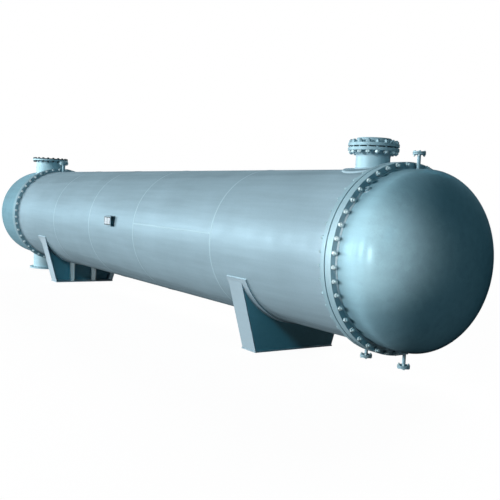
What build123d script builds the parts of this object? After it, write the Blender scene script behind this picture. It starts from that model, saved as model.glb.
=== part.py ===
from build123d import *
import math
import os

# A horizontal shell and tube heat exchanger on two saddles, in millimetres.
# X runs along the vessel towards the return head, Z is up, and the side with
# the nameplate is -Y. The origin is on the ground under the vessel's middle.

# Shell
shell_outer_radius = 816.0
wall = 16.0
tube_length = 9000.0
course_length = 1955.0
weld_gap = 0.2

# Girth joints at the two tubesheets; widths are counted from the shell's outside
girth_flange_width = 64.0
girth_bolt_offset = 41.5
girth_facing_width = 22.0
girth_bolt_count = 44
girth_hole_radius = 13.5
tubesheet_thickness = 50.0
girth_flange_thickness = 76.0
girth_facing_height = 4.0
girth_gasket_thickness = 4.0

# Return head and channel
head_skirt = 40.0
return_barrel_length = 172.0
channel_barrel_length = 877.0
partition_thickness = 14.0

# Saddles
shell_above_ground = 314.0
return_saddle_from_tubesheet = 1412.0
channel_saddle_from_tubesheet = 1098.0
saddle_depth = 250.0
saddle_plate = 14.0
saddle_base_thickness = 14.0
saddle_base_lip = 6.0
saddle_foot_half_width = 520.0
saddle_horn_angle = 27.3
pad_thickness = 16.0
pad_half_wrap = 65.5
pad_outboard = 100.0
pad_inboard = 22.0
saddle_rib_spacing = 400.0
saddle_web_cope = 85.0
anchor_inset = 140.0
anchor_hole_radius = 14.0
anchor_slot_length = 70.0

# Faces of the flanged nozzles
facing_height = 4.0
gasket_thickness = 4.0

# Shell inlet nozzle, on top near the return head; widths are counted from its pipe
shell_inlet_from_tubesheet = 362.0
shell_inlet_projection = 205.0
shell_inlet_radius = 162.5
shell_inlet_wall = 14.0
shell_inlet_flange_width = 80.0
shell_inlet_bolt_offset = 52.5
shell_inlet_facing_width = 26.5
shell_inlet_flange_thickness = 30.0
shell_inlet_bolt_count = 16
shell_inlet_hole_radius = 15.0
shell_inlet_pad_width = 117.5
shell_inlet_pad_thickness = 14.0
hub_growth = 15.0
hub_length = 50.0
impingement_margin = 37.5
impingement_thickness = 10.0
impingement_drop = 90.0

# Channel nozzles, one on top and one underneath; widths are counted from their pipe
channel_nozzle_from_head = 322.0
channel_inlet_projection = 248.0
channel_outlet_projection = 278.0
channel_nozzle_radius = 265.0
channel_nozzle_wall = 12.0
channel_nozzle_flange_width = 70.0
channel_nozzle_bolt_offset = 45.0
channel_nozzle_facing_width = 26.0
channel_nozzle_flange_thickness = 28.0
channel_nozzle_bolt_count = 20
channel_nozzle_hole_radius = 13.0
channel_cover_thickness = 12.0

# Small vents and drains; a projection is from the shell's outside to the flange face
small_radius = 16.0
small_wall = 3.5
small_flange_width = 41.5
small_bolt_offset = 26.5
small_flange_thickness = 14.0
small_bolt_count = 4
small_hole_radius = 7.0
head_vent_from_flange = 88.0
head_vent_projection = 142.0
head_drain_from_flange = 63.0
head_drain_projection = 153.0
shell_drain_from_tubesheet = 294.0
shell_drain_projection = 154.0
shell_vent_from_tubesheet = 72.0
shell_vent_projection = 164.0
shell_vent_radius = 28.5
shell_vent_wall = 4.0
shell_vent_flange_width = 54.0
shell_vent_bolt_offset = 34.0
shell_vent_flange_thickness = 22.0
shell_vent_hole_radius = 9.0

# Threaded boss on the return barrel
boss_from_flange = 43.0
boss_angle = 47.5
boss_radius = 28.0
boss_hole_radius = 13.0
boss_height = 22.0

# Nameplate bracket, on the near side
bracket_from_tubesheet = 4625.0
bracket_length = 225.0
bracket_height = 138.0
bracket_above_axis = 85.0
bracket_stand_off = 50.0
bracket_plate = 5.0
nameplate_margin = 12.0
nameplate_thickness = 2.0

# Radii and heights that follow from the sizes above
shell_inner_radius = shell_outer_radius - wall
axis_height = shell_above_ground + shell_outer_radius
head_depth = shell_outer_radius / 2
girth_radius = shell_outer_radius + girth_flange_width
girth_bolt_circle_radius = shell_outer_radius + girth_bolt_offset
girth_facing_radius = shell_outer_radius + girth_facing_width
shell_inlet_flange_radius = shell_inlet_radius + shell_inlet_flange_width
channel_nozzle_flange_radius = channel_nozzle_radius + channel_nozzle_flange_width
channel_bolt_circle_radius = channel_nozzle_radius + channel_nozzle_bolt_offset
shell_inlet_face = shell_outer_radius + shell_inlet_projection
channel_inlet_face = shell_outer_radius + channel_inlet_projection
channel_outlet_face = shell_outer_radius + channel_outlet_projection

# Stations along X, counted from the vessel's middle
joint_gap = 2 * girth_facing_height + girth_gasket_thickness
return_end = joint_gap + girth_flange_thickness + return_barrel_length + head_skirt + head_depth
channel_end = joint_gap + girth_flange_thickness + channel_barrel_length + head_skirt + head_depth
right_face = (channel_end + tube_length - return_end) / 2
left_face = right_face - tube_length
right_shell_end = right_face - tubesheet_thickness
left_shell_end = left_face + tubesheet_thickness
return_flange_back = right_face + joint_gap + girth_flange_thickness
channel_flange_back = left_face - joint_gap - girth_flange_thickness
return_barrel_end = return_flange_back + return_barrel_length
channel_barrel_end = channel_flange_back - channel_barrel_length
channel_nozzle_x = channel_barrel_end + channel_nozzle_from_head
shell_inlet_x = right_shell_end - shell_inlet_from_tubesheet

MIN_UP = (Align.CENTER, Align.CENTER, Align.MIN)


def save(name, shape):
    export_step(shape, f"parts/{name}.step")


def across(x):
    """Plane square to the vessel's axis at x, facing +X."""
    return Plane(origin=(x, 0, axis_height), x_dir=(0, 1, 0), z_dir=(1, 0, 0))


def disc(x, length, radius):
    """Solid cylinder on the vessel's axis, from x towards +X."""
    return extrude(across(x) * Circle(radius), length)


def ring(x, length, outer, inner):
    return disc(x, length, outer) - disc(x, length, inner)


def post(x, z, height, radius, y=0.0):
    """Upright solid cylinder; z is measured from the vessel's axis."""
    return Pos(x, y, axis_height + z) * Cylinder(radius, height, align=MIN_UP)


def bolt_spots(count, radius):
    """Places on a bolt circle, straddling its centre lines."""
    turn = 2 * math.pi / count
    return [(radius * math.cos((i + 0.5) * turn), radius * math.sin((i + 0.5) * turn))
            for i in range(count)]


def girth_holes(x, length):
    """The ring of bolt holes that runs through one girth joint."""
    hole = disc(x, length, girth_hole_radius)
    spots = bolt_spots(girth_bolt_count, girth_bolt_circle_radius)
    return [Pos(0, y, z) * hole for y, z in spots]


def flange_holes(x, z, height, count, circle_radius, hole_radius):
    return [post(x + px, z, height, hole_radius, py)
            for px, py in bolt_spots(count, circle_radius)]


def shell_courses():
    """Five rolled plates: a full one and two full ones at the ends, two equal ones between."""
    first_seam = left_shell_end + course_length
    third_seam = right_shell_end - 2 * course_length
    ends = [left_shell_end, first_seam, (first_seam + third_seam) / 2, third_seam,
            third_seam + course_length, right_shell_end]
    inlet_cut = post(shell_inlet_x, 0, shell_outer_radius * 2, shell_inlet_radius + weld_gap)
    drain_x = right_shell_end - shell_drain_from_tubesheet
    drain_cut = post(drain_x, -2 * shell_outer_radius, 2 * shell_outer_radius,
                     small_radius + weld_gap)
    vent_x = left_shell_end + shell_vent_from_tubesheet
    vent_cut = post(vent_x, 0, 2 * shell_outer_radius, shell_vent_radius + weld_gap)
    for number in range(1, len(ends)):
        start = ends[number - 1]
        length = ends[number] - start
        course = ring(start, length, shell_outer_radius, shell_inner_radius)
        course = course - inlet_cut - drain_cut - vent_cut
        save(f"shell_course_{number}", course)


def tubesheets():
    for name, x in (("return_tubesheet", right_shell_end), ("channel_tubesheet", left_face)):
        plate = disc(x, tubesheet_thickness, girth_radius)
        front = right_face if name == "return_tubesheet" else left_face - girth_facing_height
        plate = plate + disc(front, girth_facing_height, girth_facing_radius)
        plate = plate - girth_holes(x, tubesheet_thickness)
        save(name, plate)


def girth_flanges():
    """Body flanges and their gaskets, outside each tubesheet."""
    return_gasket_x = right_face + girth_facing_height
    channel_gasket_x = left_face - girth_facing_height - girth_gasket_thickness
    for name, x in (("return_gasket", return_gasket_x), ("channel_gasket", channel_gasket_x)):
        save(name, ring(x, girth_gasket_thickness, girth_facing_radius, shell_inner_radius))
    return_start = right_face + joint_gap
    facing_x = (return_start - girth_facing_height, left_face - joint_gap)
    names = ("return_girth_flange", "channel_girth_flange")
    for name, start, facing in zip(names, (return_start, channel_flange_back), facing_x):
        flange = disc(start, girth_flange_thickness, girth_radius)
        flange = flange + disc(facing, girth_facing_height, girth_facing_radius)
        bore_start = start - girth_facing_height
        bore_length = girth_flange_thickness + 2 * girth_facing_height
        flange = flange - disc(bore_start, bore_length, shell_inner_radius)
        flange = flange - girth_holes(start, girth_flange_thickness)
        save(name, flange)


def head(name, x, facing):
    """Elliptical dished end with a short straight skirt; facing is +1 or -1 in X."""
    inner_depth = head_depth - wall
    outer = EllipticalCenterArc((head_skirt, 0), head_depth, shell_outer_radius, arc_size=90)
    inner = EllipticalCenterArc((head_skirt, 0), inner_depth, shell_inner_radius, arc_size=90)
    edges = [
        outer,
        Line((head_skirt, shell_outer_radius), (0, shell_outer_radius)),
        Line((0, shell_outer_radius), (0, shell_inner_radius)),
        Line((0, shell_inner_radius), (head_skirt, shell_inner_radius)),
        inner,
        Line((head_skirt + inner_depth, 0), (head_skirt + head_depth, 0)),
    ]
    profile = make_face(Wire(edges))
    dish = revolve(Plane.XZ * profile, Axis.X, 360)
    if facing < 0:
        dish = Rot(0, 0, 180) * dish
    save(name, Pos(x, 0, axis_height) * dish)


def return_barrel():
    barrel = ring(return_flange_back, return_barrel_length, shell_outer_radius, shell_inner_radius)
    vent_x = return_flange_back + head_vent_from_flange
    drain_x = return_flange_back + head_drain_from_flange
    cutter = small_radius + weld_gap
    barrel = barrel - post(vent_x, 0, 2 * shell_outer_radius, cutter)
    barrel = barrel - post(drain_x, -2 * shell_outer_radius, 2 * shell_outer_radius, cutter)
    save("return_barrel", barrel)


def threaded_boss():
    """Short round boss welded to the return barrel, with a blind hole; its angle is above level."""
    x = return_flange_back + boss_from_flange
    body = Cylinder(boss_radius, shell_outer_radius + boss_height, align=MIN_UP)
    hole = Cylinder(boss_hole_radius, boss_height, align=MIN_UP)
    body = body - Pos(0, 0, shell_outer_radius) * hole
    body = Pos(x, 0, axis_height) * Rot(90 - boss_angle, 0, 0) * body
    body = body - disc(return_flange_back, return_barrel_length, shell_outer_radius + weld_gap)
    save("return_barrel_boss", body)


def channel():
    barrel = ring(channel_barrel_end, channel_barrel_length, shell_outer_radius, shell_inner_radius)
    cutter = channel_nozzle_radius + weld_gap
    barrel = barrel - post(channel_nozzle_x, -2 * shell_outer_radius, 4 * shell_outer_radius, cutter)
    save("channel_barrel", barrel)
    start = channel_barrel_end
    length = left_face - girth_facing_height - start
    width = 2 * (shell_inner_radius - weld_gap)
    plate = Pos(start + length / 2, 0, axis_height) * Box(length, width, partition_thickness)
    save("pass_partition", plate)


def flange_ring(x, z, thickness, outer, bore):
    """Flat ring around an upright nozzle, from z upwards."""
    return post(x, z, thickness, outer) - post(x, z, thickness, bore)


def shell_inlet():
    """Pipe stub with its pad, and two weld-neck flanges bolted face to face."""
    x = shell_inlet_x
    bore = shell_inlet_radius - shell_inlet_wall
    facing_radius = shell_inlet_radius + shell_inlet_facing_width
    face = shell_inlet_face
    top = face - facing_height
    low = top - shell_inlet_flange_thickness
    hub_low = low - hub_length
    neck = post(x, 0, hub_low, shell_inlet_radius) - post(x, 0, hub_low, bore)
    neck = neck - disc(x - shell_inlet_radius, 2 * shell_inlet_radius, shell_inner_radius)
    save("shell_inlet_neck", neck)
    flange = post(x, low, shell_inlet_flange_thickness, shell_inlet_flange_radius)
    flange = flange + post(x, top, facing_height, facing_radius)
    flange = flange + Pos(x, 0, axis_height + hub_low) * Cone(
        shell_inlet_radius, shell_inlet_radius + hub_growth, hub_length, align=MIN_UP)
    flange = flange - post(x, hub_low, face - hub_low, bore)
    flange = flange - flange_holes(x, low, shell_inlet_flange_thickness, shell_inlet_bolt_count,
                                   shell_inlet_radius + shell_inlet_bolt_offset,
                                   shell_inlet_hole_radius)
    save("shell_inlet_flange", flange)
    gasket = flange_ring(x, face, gasket_thickness, facing_radius, bore)
    save("shell_inlet_gasket", gasket)
    gasket_middle = axis_height + face + gasket_thickness / 2
    save("shell_inlet_mating_flange", mirror(flange, about=Plane.XY.offset(gasket_middle)))
    pad_radius = shell_inlet_radius + shell_inlet_pad_width
    pad = ring(x - pad_radius, 2 * pad_radius, shell_outer_radius + shell_inlet_pad_thickness,
               shell_outer_radius + weld_gap)
    pad = pad & flange_ring(x, 0, 2 * shell_outer_radius, pad_radius, shell_inlet_radius + weld_gap)
    save("shell_inlet_pad", pad)


def impingement_plate():
    """Square plate hung on two cheeks under the shell inlet."""
    top = shell_inner_radius - impingement_drop
    half_width = shell_inlet_radius + impingement_margin
    side = 2 * half_width
    plate = Pos(shell_inlet_x, 0, axis_height + top - impingement_thickness / 2) * Box(
        side, side, impingement_thickness)
    for sign in (-1, 1):
        y = sign * (half_width - impingement_thickness / 2)
        cheek = Pos(shell_inlet_x, y, axis_height + top) * Box(
            side, impingement_thickness, shell_inner_radius - top, align=MIN_UP)
        plate = plate + cheek
    keep = disc(shell_inlet_x - side, 2 * side, shell_inner_radius - weld_gap)
    save("impingement_plate", plate & keep)


def underneath(x, shape):
    """Turns what stands on top of the vessel at x so that it hangs underneath."""
    return Pos(x, 0, axis_height) * Rot(180, 0, 0) * Pos(-x, 0, -axis_height) * shape


def channel_nozzles():
    """Flanged stubs on top and underneath, the top one closed by a blind cover."""
    x = channel_nozzle_x
    bore = channel_nozzle_radius - channel_nozzle_wall
    cut = disc(x - channel_nozzle_radius, 2 * channel_nozzle_radius, shell_inner_radius)
    bolts = (channel_nozzle_bolt_count, channel_bolt_circle_radius, channel_nozzle_hole_radius)
    for name, face in (("channel_inlet", channel_inlet_face),
                       ("channel_outlet", channel_outlet_face)):
        top = face - facing_height
        low = top - channel_nozzle_flange_thickness
        neck = flange_ring(x, 0, low, channel_nozzle_radius, bore) - cut
        flange = post(x, low, channel_nozzle_flange_thickness, channel_nozzle_flange_radius)
        flange = flange + post(x, top, facing_height,
                               channel_nozzle_radius + channel_nozzle_facing_width)
        flange = flange - post(x, low, face - low, bore)
        flange = flange - flange_holes(x, low, channel_nozzle_flange_thickness, *bolts)
        if name == "channel_outlet":
            neck = underneath(x, neck)
            flange = underneath(x, flange)
        save(f"{name}_neck", neck)
        save(f"{name}_flange", flange)
    cover = post(x, channel_inlet_face, channel_cover_thickness, channel_nozzle_flange_radius)
    cover = cover - flange_holes(x, channel_inlet_face, channel_cover_thickness, *bolts)
    save("channel_inlet_cover", cover)


def small_nozzle(name, x, projection, side, pipe, pipe_wall, flange_width, thickness, offset, hole):
    """A flanged pipe stub with its blind flange; side is +1 on top, -1 underneath."""
    face = shell_outer_radius + projection
    low = face - thickness
    flange_radius = pipe + flange_width
    holes = flange_holes(x, low, thickness, small_bolt_count, pipe + offset, hole)
    stub = post(x, 0, low, pipe) + post(x, low, thickness, flange_radius)
    stub = stub - post(x, 0, face, pipe - pipe_wall) - holes
    stub = stub - disc(x - pipe, 2 * pipe, shell_inner_radius)
    blind = post(x, face, thickness, flange_radius)
    blind = blind - [Pos(0, 0, thickness) * spot for spot in holes]
    if side < 0:
        stub = underneath(x, stub)
        blind = underneath(x, blind)
    save(f"{name}_nozzle", stub)
    save(f"{name}_blind", blind)


def vents_and_drains():
    small = (small_radius, small_wall, small_flange_width, small_flange_thickness,
             small_bolt_offset, small_hole_radius)
    middle = (shell_vent_radius, shell_vent_wall, shell_vent_flange_width,
              shell_vent_flange_thickness, shell_vent_bolt_offset, shell_vent_hole_radius)
    small_nozzle("head_vent", return_flange_back + head_vent_from_flange,
                 head_vent_projection, 1, *small)
    small_nozzle("head_drain", return_flange_back + head_drain_from_flange,
                 head_drain_projection, -1, *small)
    small_nozzle("shell_drain", right_shell_end - shell_drain_from_tubesheet,
                 shell_drain_projection, -1, *small)
    small_nozzle("shell_vent", left_shell_end + shell_vent_from_tubesheet,
                 shell_vent_projection, 1, *middle)


def span(x_from, x_to):
    """Lower end and length of a stretch along X."""
    return min(x_from, x_to), abs(x_to - x_from)


def saddle(name, web_x, outboard, slotted):
    """Saddle with its web on the outboard side; outboard is +1 or -1 in X."""
    seat = shell_outer_radius + weld_gap + pad_thickness
    foot = saddle_base_thickness - axis_height
    horn_y = seat * math.cos(math.radians(saddle_horn_angle))
    horn_z = -seat * math.sin(math.radians(saddle_horn_angle))
    inboard_x = web_x - outboard * saddle_depth
    rib_start = web_x - outboard * saddle_plate

    def outline(margin):
        foot_y = saddle_foot_half_width - margin
        return make_face(Polyline((-foot_y, foot), (foot_y, foot), (horn_y - margin, horn_z),
                                  (margin - horn_y, horn_z), close=True))

    def plate(face, x_from, x_to):
        start, length = span(x_from, x_to)
        return extrude(across(start) * face, length) - disc(start, length, seat)

    web_top = Pos(web_x, 0, axis_height + horn_z - saddle_web_cope)
    above_web = web_top * Box(2 * saddle_depth, 2 * seat, seat, align=MIN_UP)
    save(f"{name}_saddle_web", plate(outline(saddle_plate), web_x, rib_start) - above_web)
    frame = plate(outline(0), web_x, inboard_x) - plate(outline(saddle_plate), web_x, inboard_x)
    pieces = list(frame.solids())
    for sign in (-1, 1):
        rib = Pos(sign * saddle_rib_spacing / 2, foot / 2, 0) * Rectangle(saddle_plate, -foot)
        pieces.extend(plate(rib, rib_start, inboard_x).solids())
    save(f"{name}_saddle_ribs", Compound(pieces))

    base_start, base_length = span(web_x + outboard * saddle_base_lip,
                                   inboard_x - outboard * saddle_base_lip)
    base = Pos(base_start + base_length / 2, 0, 0) * Box(
        base_length, 2 * (saddle_foot_half_width + saddle_base_lip), saddle_base_thickness,
        align=MIN_UP)
    hole = Circle(anchor_hole_radius)
    if slotted:
        hole = SlotOverall(anchor_slot_length, 2 * anchor_hole_radius)
    for sign in (-1, 1):
        spot = Pos((rib_start + inboard_x) / 2, sign * (saddle_foot_half_width - anchor_inset), 0)
        base = base - extrude(spot * hole, saddle_base_thickness)
    save(f"{name}_saddle_base", base)

    pad_start, pad_length = span(web_x + outboard * pad_outboard, inboard_x - outboard * pad_inboard)
    section = Plane.XZ * Pos(pad_start + pad_length / 2, seat - pad_thickness / 2) * Rectangle(
        pad_length, pad_thickness)
    pad = Rot(180 - pad_half_wrap, 0, 0) * revolve(section, Axis.X, 2 * pad_half_wrap)
    save(f"{name}_saddle_pad", Pos(0, 0, axis_height) * pad)


def nameplate():
    """Folded bracket welded to the shell's near side, with a bare plate on it."""
    x = right_shell_end - bracket_from_tubesheet
    z = axis_height + bracket_above_axis
    low = bracket_above_axis - bracket_height / 2
    front = math.sqrt((shell_outer_radius + bracket_stand_off) ** 2 - low ** 2)
    outer = Pos(x, -front / 2, z) * Box(bracket_length, front, bracket_height)
    inner = Pos(x, -front / 2 + bracket_plate, z) * Box(
        bracket_length, front, bracket_height - 2 * bracket_plate)
    body = outer - inner - disc(x - bracket_length, 2 * bracket_length, shell_outer_radius + weld_gap)
    save("nameplate_bracket", body)
    plate = Pos(x, -front - nameplate_thickness / 2, z) * Box(
        bracket_length - 2 * nameplate_margin, nameplate_thickness,
        bracket_height - 2 * nameplate_margin)
    save("nameplate", plate)


os.makedirs("parts", exist_ok=True)
shell_courses()
tubesheets()
girth_flanges()
head("return_head", return_barrel_end, 1)
head("channel_head", channel_barrel_end, -1)
return_barrel()
threaded_boss()
channel()
shell_inlet()
impingement_plate()
channel_nozzles()
vents_and_drains()
saddle("return", right_shell_end - return_saddle_from_tubesheet, 1, False)
saddle("channel", left_shell_end + channel_saddle_from_tubesheet, -1, True)
nameplate()
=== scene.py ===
import math
import random

import bmesh
import bpy
import numpy as np
from mathutils import Matrix, Vector

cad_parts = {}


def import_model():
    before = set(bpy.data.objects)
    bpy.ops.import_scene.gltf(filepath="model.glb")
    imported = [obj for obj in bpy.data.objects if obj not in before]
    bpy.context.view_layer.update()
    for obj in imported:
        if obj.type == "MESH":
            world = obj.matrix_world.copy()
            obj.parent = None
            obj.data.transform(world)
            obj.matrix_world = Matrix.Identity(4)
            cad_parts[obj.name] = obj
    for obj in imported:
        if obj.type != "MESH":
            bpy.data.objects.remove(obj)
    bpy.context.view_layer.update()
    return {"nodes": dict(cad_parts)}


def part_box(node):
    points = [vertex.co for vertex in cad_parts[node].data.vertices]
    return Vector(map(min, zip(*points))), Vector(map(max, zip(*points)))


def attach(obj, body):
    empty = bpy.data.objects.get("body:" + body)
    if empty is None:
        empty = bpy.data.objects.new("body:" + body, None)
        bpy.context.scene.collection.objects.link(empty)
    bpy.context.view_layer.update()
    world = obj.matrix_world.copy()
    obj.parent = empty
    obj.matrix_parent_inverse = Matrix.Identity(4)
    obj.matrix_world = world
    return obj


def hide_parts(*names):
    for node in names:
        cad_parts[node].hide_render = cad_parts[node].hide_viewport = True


# A painted shell and tube heat exchanger. All lengths are in metres, +X runs
# towards the return head, +Z is up, and the nameplate is on the -Y side.

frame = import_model()
random.seed(41)
noise_source = np.random.default_rng(41)


# Places and sizes that the boxes of the nodes show

def x_range(node, facing=1):
    """Both ends of a node along X; with facing -1 the end nearest to +X comes first."""
    low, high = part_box(node)
    return (low.x, high.x)[::facing]


def middle(node):
    low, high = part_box(node)
    return (low + high) / 2


def half_length(node):
    """Half of a node's length along X, which is the radius of an upright round node."""
    low, high = x_range(node)
    return (high - low) / 2


def heights(node, side=1):
    """Both ends of a node, counted upwards or downwards from the vessel's axis."""
    low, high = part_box(node)
    return sorted((side * (low.z - AXIS), side * (high.z - AXIS)))


shell_low, shell_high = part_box("shell_course_5")
R = shell_high.y
AXIS = (shell_low.z + shell_high.z) / 2
GIRTH_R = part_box("return_girth_flange")[1].y
ENDS = (("return", 1), ("channel", -1))
shell_inlet_x = middle("shell_inlet_neck").x
shell_inlet_r = half_length("shell_inlet_neck")
channel_x = middle("channel_outlet_neck").x
channel_r = half_length("channel_outlet_neck")

# Vessel
WALL = 0.016
HEAD_SKIRT = 0.040
COURSES = 5
LONG_SEAM_DEGREES = (60, 85, 50, 173.8, 75)
CHANNEL_SEAM_DEGREES = 60
RETURN_SEAM_DEGREES = 75

# Girth joints: the offset is the bolt circle's distance from the shell's outside
GIRTH_BOLTS = 44
GIRTH_BOLT_OFFSET = 0.0415
GIRTH_STUD = 0.024
GIRTH_PITCH = 0.003
GIRTH_NUT_WIDTH = 0.036
GIRTH_NUT_HEIGHT = 0.024
GIRTH_TIP = 0.020
FACING_WIDTH = 0.022
FACING_HEIGHT = 0.004

# Shell inlet: facing and bolt circle are counted from the pipe's outside
INLET_WALL = 0.014
INLET_HUB_LENGTH = 0.050
INLET_HUB_GROWTH = 0.015
INLET_FACING = 0.0265
INLET_BOLTS = 16
INLET_BOLT_OFFSET = 0.0525
INLET_STUD = 0.027
INLET_TIP = 0.010

# Channel nozzles, counted in the same way
CHANNEL_WALL = 0.012
CHANNEL_FACING = 0.026
CHANNEL_BOLTS = 20
CHANNEL_BOLT_OFFSET = 0.045
CHANNEL_STUD = 0.024
CHANNEL_TIP = 0.008
BOLT_HOLE_R = 0.013
BOLT_HOLE_RIM_R = 0.0145

# Vents and drains in two sizes; flange and bolts are counted from the pipe's outside
SMALL = {"wall": 0.0035, "flange": 0.0415, "bolts": 0.0265, "bolt": 0.013, "tip": 0.006}
LARGE = {"wall": 0.004, "flange": 0.054, "bolts": 0.034, "bolt": 0.017, "tip": 0.008}
SMALL_NOZZLES = (("head_vent", 1, SMALL), ("head_drain", -1, SMALL), ("shell_drain", -1, SMALL),
                 ("shell_vent", 1, LARGE))
BLIND_GAP = 0.0006
COLLAR_WIDTH = 0.005
COLLAR_HEIGHT = 0.006
BOSS_R = 0.028
BOSS_BORE_R = 0.013
BOSS_LENGTH = 0.022

# Nameplate
PLATE_RIM = 0.014
PLATE_RECESS = 0.0009
PLATE_CORNER = 0.006
FIELD_CORNER = 0.002
RIVET_INSET = 0.008

# Saddles
HORN_ANGLE = math.radians(27.3)
PAD_HALF_WRAP = math.radians(65.5)
PAD_THICKNESS = 0.016
PLATE = 0.014
BASE_LIP = 0.006
WEB_COPE = 0.085
INNER_RIB_Y = 0.2
ANCHOR_Y = 0.38
ANCHOR_HOLE_R = 0.014
ANCHOR_SLOT_HALF = 0.021

# Rounded edges, and the gap between fitted pieces
EDGE = 0.0015
RING_EDGE = 0.002
SMALL_EDGE = 0.0012
HAIR_EDGE = 0.0001
FIT = 0.0002

# How far a cutter reaches past a plate, and a nozzle's cutter from the vessel's axis
CLEAR = 0.01
NOZZLE_HOLE_REACH = (0.3, 1.2)

# Welds and studs: how far they stray from their place
WELD_SWAY = 0.0004
STUD_STRAY = (-0.002, 0.003)

# Steps of round shapes
VESSEL_STEPS = 256
RING_STEPS = 128
PIPE_STEPS = 96
SMALL_STEPS = 48
WELD_STEPS = 512
BEAD_STEPS = 192


# Mesh building: each function returns (points, faces), and merge() joins them

def merge(meshes):
    points, faces, start = [], [], 0
    for mesh_points, mesh_faces in meshes:
        points.append(np.asarray(mesh_points, float))
        faces.extend([tuple(i + start for i in face) for face in mesh_faces])
        start += len(mesh_points)
    return np.concatenate(points), faces


def placed(mesh, matrix):
    points, faces = mesh
    m = np.array(matrix)
    return points @ m[:3, :3].T + m[:3, 3], faces


def copies(mesh, matrices):
    return merge([placed(mesh, matrix) for matrix in matrices])


def rectangle(a_low, a_high, b_low, b_high):
    return [(a_low, b_low), (a_high, b_low), (a_high, b_high), (a_low, b_high)]


def around(steps):
    """Angles evenly spaced once round a circle."""
    return np.linspace(0, 2 * math.pi, steps, endpoint=False)


def ring(turn, radius, height):
    """Level ring of points round the Z axis."""
    return np.stack([radius * np.cos(turn), radius * np.sin(turn), height + 0 * turn], 1)


def skin(rings, closed_along=True, closed_round=True):
    """Faces between rings of points; rings is an array of (ring, point, 3)."""
    rings = np.asarray(rings, float)
    count, size = rings.shape[:2]
    faces = []
    for i in range(count if closed_along else count - 1):
        k = (i + 1) % count
        for j in range(size if closed_round else size - 1):
            n = (j + 1) % size
            faces.append((i * size + j, i * size + n, k * size + n, k * size + j))
    return rings.reshape(-1, 3), faces


def capped(rings):
    """Bar through a row of rings, with a flat face at both ends."""
    points, faces = skin(rings, closed_along=False)
    size = len(rings[0])
    faces.append(tuple(reversed(range(size))))
    faces.append(tuple(range(len(points) - size, len(points))))
    return points, faces


def soften(points, size, steps=4):
    """Rounds every corner of a closed outline of 2-D points."""
    result = []
    count = len(points)
    for i, corner in enumerate(points):
        corner = np.array(corner, float)
        before = np.array(points[i - 1], float) - corner
        after = np.array(points[(i + 1) % count], float) - corner
        reach = min(size, np.linalg.norm(before) / 3, np.linalg.norm(after) / 3)
        start = corner + before / np.linalg.norm(before) * reach
        end = corner + after / np.linalg.norm(after) * reach
        for step in range(steps + 1):
            t = step / steps
            result.append((1 - t) ** 2 * start + 2 * t * (1 - t) * corner + t * t * end)
    return result


def hoop(x, radius, turn):
    """Path round the vessel's axis, with the +X and outward directions at its points."""
    out = np.stack([0 * turn, np.cos(turn), np.sin(turn)], 1)
    side = np.tile([1.0, 0.0, 0.0], (len(turn), 1))
    return np.array([x, 0.0, AXIS]) + radius * out, side, out


def straight(x_low, x_high, steps, angle):
    """Path along the shell, with the directions round it and outwards at its points. The
    angle is counted from +Y towards +Z."""
    out = np.tile([0.0, math.cos(angle), math.sin(angle)], (steps, 1))
    side = np.tile([0.0, -math.sin(angle), math.cos(angle)], (steps, 1))
    x = np.linspace(x_low, x_high, steps)
    return np.stack([x, 0 * x, np.full(steps, AXIS)], 1) + R * out, side, out


def sweep(path, side, up, profile, closed=True):
    """Carries a closed outline of (side, up) offsets along a path."""
    rings = [path + a * side + b * up for a, b in profile]
    points, faces = skin(rings, closed_round=closed)
    if not closed:
        size = len(path)
        faces.append(tuple(i * size for i in range(len(profile))))
        faces.append(tuple(i * size + size - 1 for i in reversed(range(len(profile)))))
    return points, faces


def lathe_x(profile):
    """Turns a closed outline of (x, radius) round the vessel's axis."""
    turn = around(VESSEL_STEPS)
    return skin([hoop(x, radius, turn)[0] for x, radius in profile])


def on_cylinder(radius):
    """Height of a cylinder round the vessel's axis, for points at y from the middle."""
    return lambda y: np.sqrt(radius ** 2 - y ** 2)


def upright(x, profile, steps=PIPE_STEPS, side=1, y=0.0):
    """Turns a closed outline of (radius, height) round an upright axis, on the upper or lower
    side of the vessel. Heights count from its axis and may come from on_cylinder()."""
    turn = around(steps)
    rings = []
    for radius, height in profile:
        across = y + radius * np.sin(turn)
        level = height(across) if callable(height) else height + 0 * turn
        rings.append(np.stack([x + radius * np.cos(turn), across, AXIS + side * level], 1))
    return skin(rings)


def prism(outline, place, length, bevel=EDGE):
    """A plate with slightly rounded edges; place(a, b, c) puts an outline point at depth c."""
    bm = bmesh.new()
    near = [bm.verts.new(place(a, b, 0.0)) for a, b in outline]
    far = [bm.verts.new(place(a, b, length)) for a, b in outline]
    bm.faces.new(near)
    bm.faces.new(list(reversed(far)))
    for i in range(len(near)):
        k = (i + 1) % len(near)
        bm.faces.new([near[k], near[i], far[i], far[k]])
    bmesh.ops.recalc_face_normals(bm, faces=bm.faces)
    sharp_angle = math.radians(25)
    edges = [e for e in bm.edges if e.calc_face_angle() > sharp_angle]
    bmesh.ops.bevel(bm, geom=edges, offset=bevel, segments=2, profile=0.5, affect="EDGES")
    bm.verts.index_update()
    points = np.array([v.co for v in bm.verts])
    faces = [tuple(v.index for v in f.verts) for f in bm.faces]
    bm.free()
    return points, faces


# Objects

def add(name, data):
    obj = bpy.data.objects.new(name, data)
    bpy.context.scene.collection.objects.link(obj)
    return obj


def apply_modifiers(obj):
    shaped = obj.evaluated_get(bpy.context.evaluated_depsgraph_get())
    obj.data = bpy.data.meshes.new_from_object(shaped)
    obj.modifiers.clear()


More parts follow.
